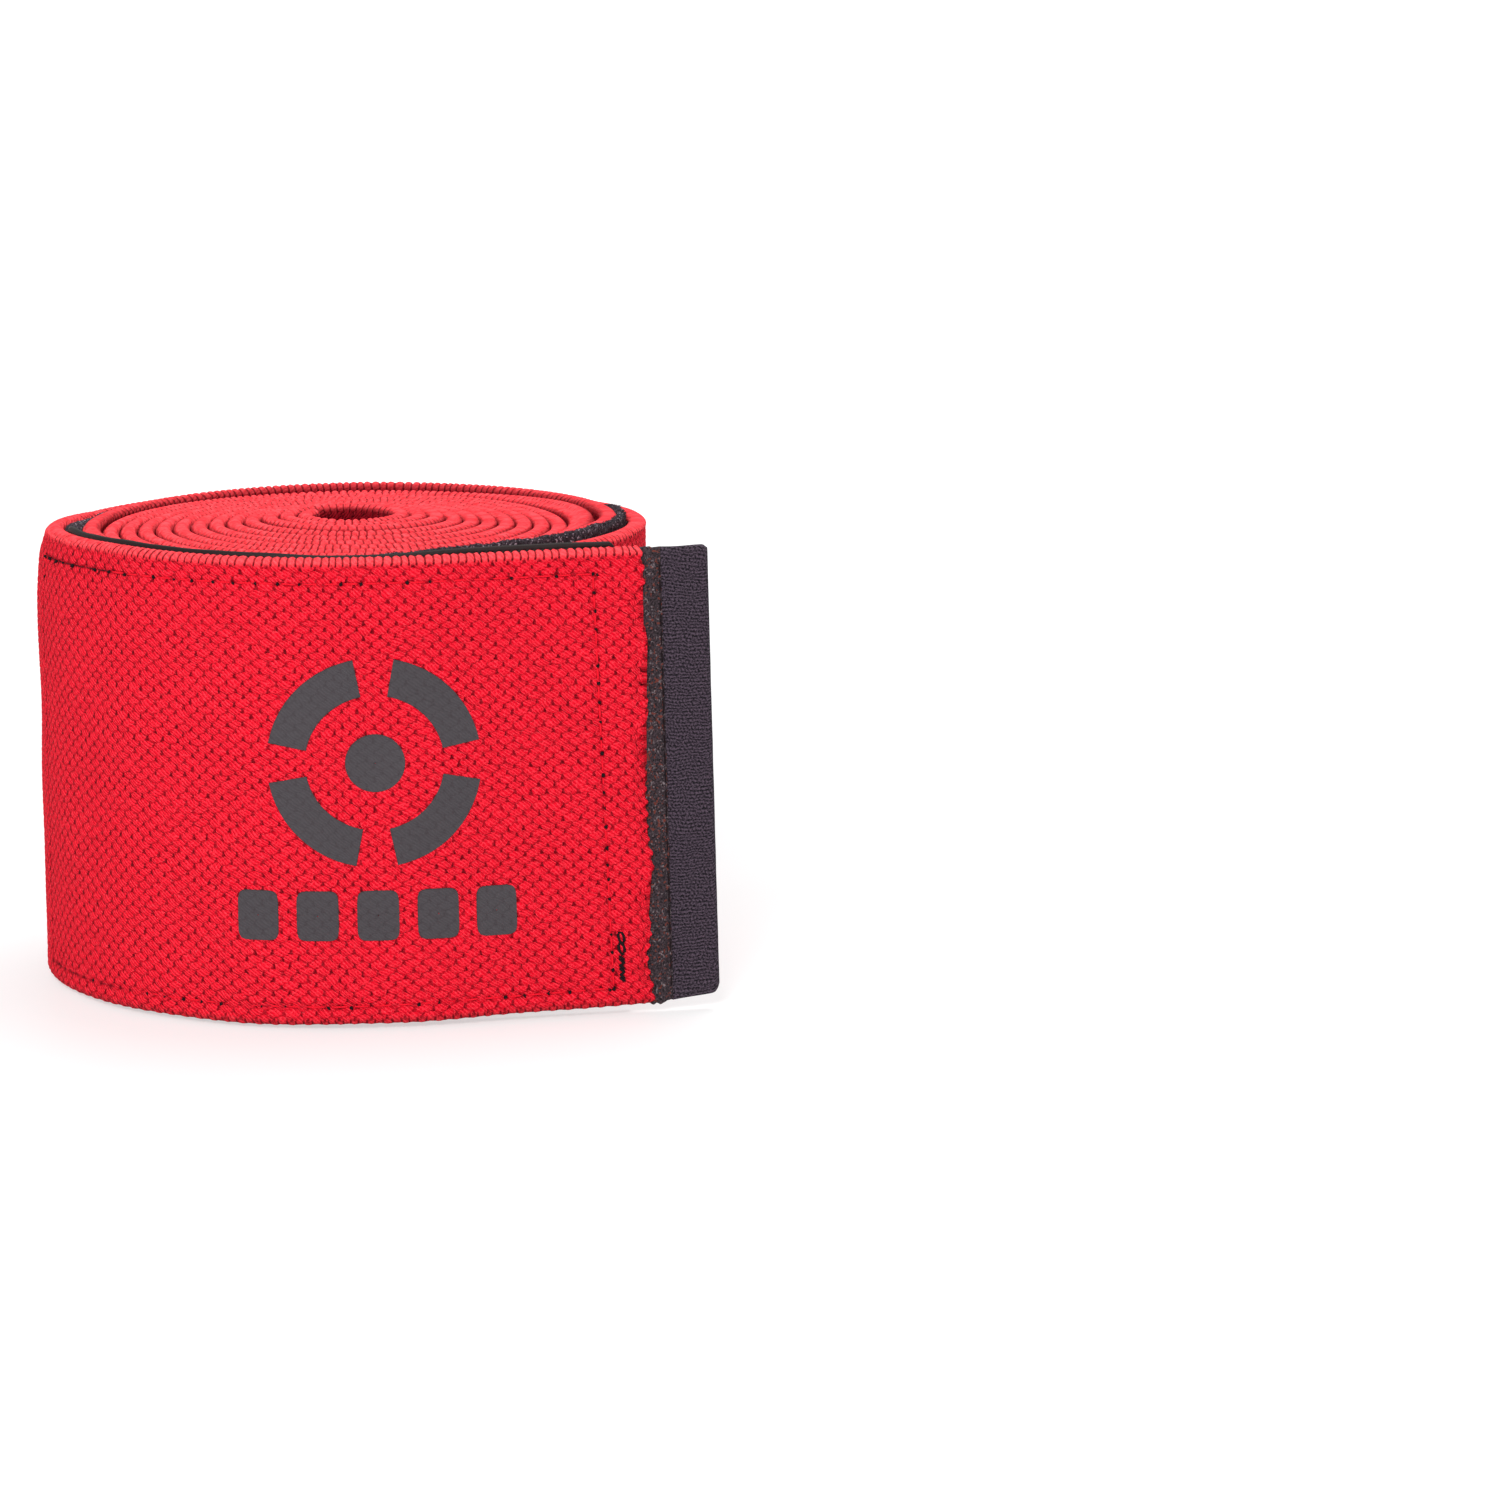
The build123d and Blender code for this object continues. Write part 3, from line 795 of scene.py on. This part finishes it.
LOOP_START = 11.765
LOOP_END = 12.69
loop_rows = np.r_[0.4, np.arange(2.0, 47.0, 1.2), np.arange(47.2, 49.6, 0.25)]
loop_section = Section(LOOP_THICK, 0.35, loop_rows, (0.4, 25.0, 49.4), 6)
s = stations(s_at(LOOP_START), s_at(LOOP_END), 0.2)
low, top = edge_heights(s)
outer_top = edge_heights(s + s_at(13.25) - s_at(12.25))[1]
loop_turn = np.interp(s, TURN_S, TURNS)
hidden = smooth(loop_turn, 12.03, 12.12)
taper = 0.45 * (1 - smooth(loop_turn, LOOP_START, LOOP_START + 0.06))
shown_top = top - taper + 0.32 * (1 - smooth(loop_turn, 11.92, 12.02))
hidden_top = np.minimum(top, outer_top) - 0.30 - 0.8 * (1 - smooth(loop_turn, 12.37, 12.42))
loop_top = shown_top * (1 - hidden) + hidden_top * hidden + 0.08 * ripple(s, 0 * s, 6.0, 43)
loop = strip(
    "loop_patch_pile", s, loop_section, THICK / 2 + 0.05 + LOOP_THICK / 2,
    low + 0.3, loop_top, PILE, pile_relief,
)
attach(loop, "roll")
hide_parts("loop_patch")


# ---- threads and fibres ----
def tubes(name, paths, radius, sides, material):
    """One mesh of many thin closed tubes, each along a list of points in millimetres."""
    all_points = []
    all_faces = []
    turn = np.linspace(0, 2 * math.pi, sides, endpoint=False)
    for index, path in enumerate(paths):
        path = np.asarray(path, float)
        thick = radius[index] if hasattr(radius, "__len__") else radius
        along = np.gradient(path, axis=0)
        along /= np.linalg.norm(along, axis=1, keepdims=True) + 1e-9
        side = np.cross(along, (0.31, 0.17, 0.93))
        side /= np.linalg.norm(side, axis=1, keepdims=True) + 1e-9
        other = np.cross(along, side)
        taper = np.ones(len(path))
        taper[0] = taper[-1] = 0.45
        ring = (
            np.cos(turn)[None, :, None] * side[:, None, :]
            + np.sin(turn)[None, :, None] * other[:, None, :]
        )
        points = path[:, None, :] + ring * (thick * taper)[:, None, None]
        base = sum(len(p) for p in all_points)
        all_points.append(points.reshape(-1, 3))
        all_faces += [tuple(base + k for k in face) for face in tube_faces(len(path), sides)]
    return new_object(name, np.concatenate(all_points), all_faces, material)


def thread(name, paths, radius, material, body, node, sides=6):
    """Tubes that ride on a body and stand for a node."""
    obj = tubes(name, paths, radius, sides, material)
    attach(obj, body)
    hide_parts(node)


LOOPS_PER_MM = 16
FIBRE_RADIUS = 0.028
arcs = []
count = int((s[-1] - s[0]) * LOOPS_PER_MM)
for place in rng.uniform(s[0], s[-1], count):
    high = float(np.interp(place, s, loop_top))
    out = THICK / 2 + 0.1 + rng.uniform(0.0, LOOP_THICK + 0.05)
    size = rng.uniform(0.10, 0.26)
    heading = rng.uniform(0, math.pi)
    t = np.linspace(0, math.pi, 5)
    ds = size * 0.5 * np.cos(t) * math.cos(heading)
    do = size * 0.4 * np.cos(t) * math.sin(heading)
    x, y = on_path(place + ds, out + do)
    z = high - 0.12 + size * np.sin(t) * rng.uniform(0.5, 1.0)
    arcs.append(np.stack([x, y, z], -1))
thread("loop_patch_loops", arcs, FIBRE_RADIUS, PILE, "roll", "loop_patch", 3)


# ---- pull tab ----
tab_out = THICK / 2 - TAB_DEPTH - TAB_THICK / 2
tab_rows = np.arange(0.5, 49.51, 0.3)
tab_section = Section(TAB_THICK, 0.3, tab_rows, tab_rows, 5)
HEM_OVERLAP = 1.3  # the sewn leaves start under the band's cut end
HEM_FRONT = 0.22  # the sewn edge bulges towards the knit's face
TAB_CORNER = 0.9
TAB_FLARE = 0.10  # the tab's lower edge rises that much for each millimetre
TAB_END = S_CUT + HEM + TAB


def hem_relief(u, v, s, flat, section):
    """Uneven bulge of the sewn leaves beside the band's cut end."""
    outer = (section.normal_out > 0.3)[None, :]
    rough = 0.05 * ripple(s, flat, 0.8, 51) + 0.04 * ripple(s, flat, 1.7, 52)
    bulge = HEM_FRONT * (smooth(s, S_CUT - 0.9, S_CUT - 0.2) - smooth(s, S_CUT + 0.6, S_CUT + HEM))
    return np.where(outer, bulge + rough, rough * 0.5)


def tab_relief(u, v, s, flat, section):
    """Slight waves, and a thinner fold."""
    return 0.03 * ripple(s, flat, 6.0, 53) - 0.25 * smooth(s, TAB_END - 0.5, TAB_END)


s = stations(S_CUT - HEM_OVERLAP, S_CUT + HEM, 0.12)
low, top = edge_heights(s)
hem = strip(
    "pull_tab_hem_tape", s, tab_section, tab_out, low + 0.05, top - 0.1, HEM_TAPE,
    hem_relief,
)
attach(hem, "end_flap")
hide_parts("pull_tab_hem")

s = stations(S_CUT + HEM, TAB_END, 0.16)
low, top = edge_heights(s)
past = s - S_CUT - HEM
in_corner = np.clip(past - (TAB - TAB_CORNER), 0, TAB_CORNER)
corner = TAB_CORNER - np.sqrt(np.clip(TAB_CORNER**2 - in_corner**2, 0, 1))
tab = strip(
    "pull_tab_tape", s, tab_section, tab_out,
    low + 0.05 + TAB_FLARE * past + corner * 0.8, top - 0.1 - corner * 0.08, TAPE,
    tab_relief,
)
path_point(S_CUT + HEM, tab_out, MIDDLE)
path_point(S_CUT + HEM + 1.2, tab_out, MIDDLE)
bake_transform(tab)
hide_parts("pull_tab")


# ---- stitches ----
def face_point(s, v, out):
    """Point on the end section's outer side at an arc length and a height on the band."""
    low, top = edge_heights(np.array([s]))
    place = float(leaned(np.array([s]), np.array([v]))[0])
    x, y = on_path(np.array([place]), THICK / 2 + out)
    z = low[0] + v / WIDTH * (top[0] - low[0])
    return (float(x[0]), float(y[0]), float(z))


def stitch_path(s0, v0, s1, v1, out, bulge):
    """Thread between two needle holes: it dips into the knit at both ends."""
    t = np.linspace(0, 1, 7)
    rise = bulge * np.sin(math.pi * t) ** 0.6
    return [face_point(s0 + (s1 - s0) * k, v0 + (v1 - v0) * k, out + r) for k, r in zip(t, rise)]


SEAM_PITCH = 2.3
END_SEAM_PITCH = 1.95
TAB_SEAM_PITCH = 1.9
LOOP_SEAM_PITCH = 3.1


def seam(start, end, pitch, out=-0.24, bulge=0.12):
    """Threads and needle holes along a straight seam between two (s, v) points."""
    length = math.hypot(end[0] - start[0], end[1] - start[1])
    count = max(1, round(length / pitch))
    fractions = np.linspace(0, 1, count + 1)
    fractions[1:-1] += rng.normal(0, 0.06 / count, count - 1)
    spots = [
        (start[0] + (end[0] - start[0]) * f, start[1] + (end[1] - start[1]) * f) for f in fractions
    ]
    threads = []
    for a, b in zip(spots, spots[1:]):
        ds, dv = b[0] - a[0], b[1] - a[1]
        threads.append(stitch_path(
            a[0] + ds * 0.10, a[1] + dv * 0.10, a[0] + ds * 0.90, a[1] + dv * 0.90, out, bulge,
        ))
    return threads, spots


left = S_HINGE + SEAM_LEFT
right = S_CUT - SEAM_RIGHT
high = WIDTH - SEAM_TOP
seams = [
    seam((left, high), (right, high), SEAM_PITCH),
    seam((left, SEAM_LOW), (right, SEAM_LOW), SEAM_PITCH),
    seam((left, SEAM_LOW), (left, high), SEAM_PITCH),
    seam((right + SEAM_SLANT / 2, SEAM_LOW), (right - SEAM_SLANT / 2, high), END_SEAM_PITCH),
]
DARK_STITCHES = 7  # on the left of the level seams they are pulled in and black
red = [path for threads, _ in seams[:2] for path in threads[DARK_STITCHES:]]
red += [path for threads, _ in seams[2:] for path in threads]
black = [path for threads, _ in seams[:2] for path in threads[:DARK_STITCHES]]
thread("hook_patch_seam_thread", red, 0.12, RED_THREAD, "end_flap", "hook_patch_seam")

dots = []
for number, (threads, spots) in enumerate(seams):
    for place, height in spots:
        chance = 0.85 if number == 3 or place < left + 14 else 0.65
        if rng.uniform() > chance:
            continue
        size = rng.uniform(0.16, 0.34) * (0.7 if number == 2 else 1.0)
        dots.append([
            face_point(place - size * 0.4, height + rng.normal(0, 0.06), -0.12),
            face_point(place, height + rng.normal(0, 0.08), 0.02),
            face_point(place + size * 0.4, height - size * rng.uniform(0.2, 0.9), -0.10),
        ])
sizes = [rng.uniform(0.13, 0.28) for _ in dots] + [0.045] * len(black)
thread(
    "hook_patch_seam_knots", dots + black, sizes, BLACK_THREAD,
    "end_flap", "hook_patch_seam",
)

tack = []
TACK_S = S_CUT - 3.7
TACK_LINKS = (6.45, 7.65)  # heights of the two chain links
TACK_LOW = 2.8  # height of the lowest crossing stitch
TACK_STEP = 0.34
around = np.linspace(0, 2 * math.pi, 15)
for middle in TACK_LINKS:
    tack.append([
        face_point(TACK_S + 0.30 * math.sin(a) - 0.12 * math.cos(a), middle + 0.62 * math.cos(a), 0.0)
        for a in around
    ])
for k in range(8):
    v0 = TACK_LOW + k * TACK_STEP
    wide = rng.uniform(0.24, 0.36) * (-1 if k % 3 == 2 else 1)
    tack.append(stitch_path(TACK_S + wide, v0, TACK_S - wide, v0 + 0.46, -0.03, 0.12))
thread(
    "hook_patch_back_tack_thread", tack, 0.16, BLACK_THREAD,
    "end_flap", "hook_patch_back_tack",
)

tab_seam_s = S_CUT + HEM - 0.2
tab_seam = seam(
    (tab_seam_s, 1.5), (tab_seam_s, WIDTH - 1.5), TAB_SEAM_PITCH, -TAB_DEPTH + 0.02, 0.10,
)[0]
thread(
    "pull_tab_seam_thread", tab_seam, 0.08, BLACK_THREAD,
    "end_flap", "pull_tab_seam",
)


def roll_stitches(start, end, pitch, heights, out):
    """Level stitches on a wound face, at each height."""
    paths = []
    for s0 in np.arange(start, end - pitch, pitch):
        for z in heights:
            t = np.linspace(0.12, 0.88, 5)
            x, y = on_path(s0 + t * pitch, out + 0.10 * np.sin(math.pi * t))
            paths.append(np.stack([x, y, np.full(5, z)], -1))
    return paths


loop_threads = roll_stitches(
    s_at(LOOP_START) + 1, s_at(LOOP_END) - 1, LOOP_SEAM_PITCH, (2.4, 47.4),
    THICK / 2 + LOOP_THICK + 0.08,
)
thread(
    "loop_patch_seam_thread", loop_threads, 0.12, BLACK_THREAD,
    "roll", "loop_patch_seam",
)

# ---- thumb loop ----
THUMB_WIDE = 12.0
THUMB_LEAF = 0.5
THUMB_MIDDLE = 24.7  # height of the tape's middle
THUMB_RADIUS = 4.05
THUMB_PITCH = 1.16
THUMB_FROM = 0.77  # turn number where the doubled tape starts
THUMB_TO = -1.33  # turn number of its fold
THUMB_SEAM_TURN = 0.70


def thumb_radius(turn):
    """Outer face of the doubled tape at a turn number."""
    return THUMB_RADIUS + THUMB_PITCH * (turn - THUMB_FROM)


def hairpin():
    """Middle line of the doubled tape: in along the outer leaf and back along the inner one."""
    inward = np.linspace(THUMB_FROM, THUMB_TO, 260)
    outer = thumb_radius(inward) - THUMB_LEAF / 2
    inner = thumb_radius(inward[::-1]) - THUMB_LEAF * 1.5 - 0.06
    turn = np.concatenate([inward, inward[::-1]])
    radius = np.concatenate([outer, inner])
    angle = 2 * math.pi * turn
    return ROLL + np.stack([radius * np.cos(angle), radius * np.sin(angle)], -1)


line = hairpin()
run = np.concatenate([[0], np.cumsum(np.hypot(*np.diff(line, axis=0).T))])
places = np.linspace(0, run[-1], 420)
line = np.stack([np.interp(places, run, line[:, k]) for k in (0, 1)], -1)
tangent = np.gradient(line, axis=0)
tangent /= np.linalg.norm(tangent, axis=1, keepdims=True) + 1e-9
normal = np.stack([tangent[:, 1], -tangent[:, 0]], -1)
thumb_rows = np.arange(0.3, 11.71, 0.38)
tape = Section(THUMB_LEAF, 0.2, thumb_rows, thumb_rows, 4, THUMB_WIDE)
m = len(tape.out)
across = np.cos(2 * math.pi * tape.v / 0.8)[None, :]
weave = 0.02 * np.cos(2 * math.pi * places / 0.8)[:, None] * across
xy = line[:, None, :] + normal[:, None, :] * (tape.out[None, :] + weave * tape.normal_out)[:, :, None]
z = np.broadcast_to(THUMB_MIDDLE - THUMB_WIDE / 2 + tape.v, (len(line), m))
points = np.concatenate([xy, z[:, :, None]], -1).reshape(-1, 3)
lay = np.stack([np.repeat(places, m), np.tile(tape.v, len(line)), np.zeros(len(line) * m)], -1)
thumb = new_object("thumb_loop_tape", points, tube_faces(len(line), m), TAPE, lay)
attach(thumb, "roll")
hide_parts("thumb_loop")

bars = []
for z in np.arange(THUMB_MIDDLE - 4.5, THUMB_MIDDLE + 4.0, 1.6):
    radius = thumb_radius(THUMB_SEAM_TURN) + 0.05 + 0.06 * np.sin(np.linspace(0, math.pi, 5))
    angle = 2 * math.pi * THUMB_SEAM_TURN
    bars.append(np.stack([
        ROLL[0] + radius * math.cos(angle),
        ROLL[1] + radius * math.sin(angle),
        z + np.linspace(0, 1.3, 5),
    ], -1))
thread("thumb_loop_seam_thread", bars, 0.10, RED_THREAD, "roll", "thumb_loop_seam")

# ---- emblem film ----
EMBLEM_X = 4.4
EMBLEM_Z = 28.9
RING_INNER = 7.2
RING_OUTER = 11.2
HALF_ARC = math.radians(34.0)
DOT_RADIUS = 3.1
BAR_Z = 12.5
BAR_COUNT = 5
BAR_PITCH = 6.2
BAR_HALF_WIDE = 2.15
BAR_HALF_HIGH = 2.7
BAR_POWER = 6.0  # how square the bars' corners are
FILM_HIGH = 0.06
FILM_GRID = 0.16


def film(name, patches, node):
    """Thin film over the knit.  Each patch is a grid of plan-view x and z offsets."""
    all_points = []
    all_lay = []
    all_faces = []
    for x, z, closed in patches:
        s = S_FRONT + x
        low, top = edge_heights(s)
        v = (z - low) / (top - low) * WIDTH
        u, w = jittered(s, v)
        high = PUFF_HIGH * 0.4 * puffs(u, w) + 0.06 * ripple(s, v, 16.0, 21)
        n, m = x.shape
        base = sum(len(p) for p in all_points)
        for level in (FILM_HIGH, -0.02):
            px, py = on_path(leaned(s, v), THICK / 2 + high + level)
            all_points.append(np.stack([px, py, z], -1).reshape(-1, 3))
            all_lay.append(np.stack([u, w, 0 * u], -1).reshape(-1, 3))
        wrap = m if closed else m - 1
        size = n * m
        for i in range(n - 1):
            for k in range(wrap):
                a, b = i * m + k, i * m + (k + 1) % m
                c, d = b + m, a + m
                all_faces.append((base + a, base + b, base + c, base + d))
                all_faces.append(tuple(base + size + corner for corner in (d, c, b, a)))
        rims = [[(0, k) for k in range(m)], [(n - 1, k) for k in range(m)]]
        if not closed:
            rims += [[(i, 0) for i in range(n)], [(i, m - 1) for i in range(n)]]
        for rim in rims:
            pairs = list(zip(rim, rim[1:]))
            if closed:
                pairs.append((rim[-1], rim[0]))
            for (i0, k0), (i1, k1) in pairs:
                a, b = base + i0 * m + k0, base + i1 * m + k1
                all_faces.append((a, a + size, b + size, b))
    obj = new_object(
        name, np.concatenate(all_points), all_faces, FILM, np.concatenate(all_lay),
    )
    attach(obj, "end_flap")
    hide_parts(node)


def polar_patch(cx, cz, r0, r1, start, end, closed):
    """Grid between two radii; the radii may depend on the angle."""
    count = max(12, int(abs(end - start) * 11 / FILM_GRID))
    angles = np.linspace(start, end, count, endpoint=not closed)
    inner = r0(angles) if callable(r0) else np.full(len(angles), float(r0))
    outer = r1(angles) if callable(r1) else np.full(len(angles), float(r1))
    steps = np.linspace(0, 1, max(3, int((outer.max() - inner.max()) / FILM_GRID)))[:, None]
    r = inner[None, :] + steps * (outer - inner)[None, :]
    return cx + r * np.cos(angles)[None, :], cz + r * np.sin(angles)[None, :], closed


def bar_outline(angle):
    """Radius of an upright rounded bar."""
    wide = (np.abs(np.cos(angle)) / BAR_HALF_WIDE) ** BAR_POWER
    high = (np.abs(np.sin(angle)) / BAR_HALF_HIGH) ** BAR_POWER
    return (wide + high) ** (-1 / BAR_POWER)


def round_patch(cx, cz, radius):
    """Closed patch round a point."""
    return polar_patch(cx, cz, 0.05, radius, 0, 2 * math.pi, True)


film("emblem_ring_film", [
    polar_patch(EMBLEM_X, EMBLEM_Z, RING_INNER, RING_OUTER, a - HALF_ARC, a + HALF_ARC, False)
    for a in (math.radians(degrees) for degrees in (45, 135, 225, 315))
], "emblem_ring")
film("emblem_dot_film", [round_patch(EMBLEM_X, EMBLEM_Z, DOT_RADIUS)], "emblem_dot")
film("emblem_bars_film", [
    round_patch(EMBLEM_X + (i - BAR_COUNT // 2) * BAR_PITCH, BAR_Z, bar_outline)
    for i in range(BAR_COUNT)
], "emblem_bars")

# ---- floor, light and camera, in metres ----
PALE = (0.40, 0.40, 0.402)
WHITE = (1.0, 1.0, 1.0, 1.0)
GLOW_NEAR = 0.57  # the floor's own light beside the object
GLOW_FAR = 0.95
BACKDROP_RADIUS = 4.0  # a ring of pale wall round the floor
BACKDROP_HIGH = 0.55
WORLD_LIGHT = 0.42

bpy.ops.mesh.primitive_plane_add(size=60.0, location=(0, 0, 0))
floor = bpy.context.object
floor.name = "studio_floor"
floor_net = Net("pale floor", 0.55, specular=0.25)
floor_net.shader.inputs["Emission Color"].default_value = WHITE
reach = floor_net.tree.nodes.new("ShaderNodeVectorMath")
reach.operation = "LENGTH"
floor_net.plug(reach.inputs[0], floor_net.object_point())
glow = floor_net.ramp(Term(floor_net, reach.outputs["Value"]), 0.12, 0.60, GLOW_NEAR, GLOW_FAR)
floor_net.plug(floor_net.shader.inputs["Emission Strength"], glow)
floor.data.materials.append(floor_net.finish(PALE))

bpy.ops.mesh.primitive_cylinder_add(
    vertices=96, radius=BACKDROP_RADIUS, depth=BACKDROP_HIGH, end_fill_type="NOTHING",
    location=(0, 0, BACKDROP_HIGH / 2),
)
backdrop = bpy.context.object
backdrop.name = "studio_backdrop"
backdrop_net = Net("pale backdrop", 0.9, specular=0.0)
backdrop_net.shader.inputs["Emission Color"].default_value = WHITE
backdrop_net.shader.inputs["Emission Strength"].default_value = GLOW_FAR
backdrop.data.materials.append(backdrop_net.finish(PALE))

world = bpy.data.worlds.new("studio")
bpy.context.scene.world = world
world.use_nodes = True
background = world.node_tree.nodes["Background"]
background.inputs["Color"].default_value = WHITE
background.inputs["Strength"].default_value = WORLD_LIGHT
bpy.context.scene.view_settings.view_transform = "Standard"


def area_light(name, place, target, size, power):
    """Round soft light that points at a target."""
    data = bpy.data.lights.new(name, "AREA")
    data.shape = "DISK"
    data.size = size
    data.energy = power
    light = bpy.data.objects.new(name, data)
    bpy.context.scene.collection.objects.link(light)
    light.location = place
    direction = np.array(target) - np.array(place)
    pitch = math.atan2(math.hypot(direction[0], direction[1]), -direction[2])
    light.rotation_euler = (pitch, 0, math.atan2(direction[1], direction[0]) - math.pi / 2)


area_light("key", place=(-0.14, -0.88, 0.55), target=(0, 0, 0.03), size=0.35, power=9.0)
area_light("top", place=(0.15, 0.20, 0.75), target=(0, 0, 0.05), size=0.45, power=3.5)

camera_data = bpy.data.cameras.new("camera")
camera_data.sensor_width = 36.0
camera_data.lens = 115.25
camera_data.clip_start = 0.01
camera = bpy.data.objects.new("camera", camera_data)
bpy.context.scene.collection.objects.link(camera)
camera.location = (0.0301, -0.530, 0.1222)
camera.rotation_euler = (math.radians(90 - 10.50), 0, math.radians(-1.24))
bpy.context.scene.camera = camera
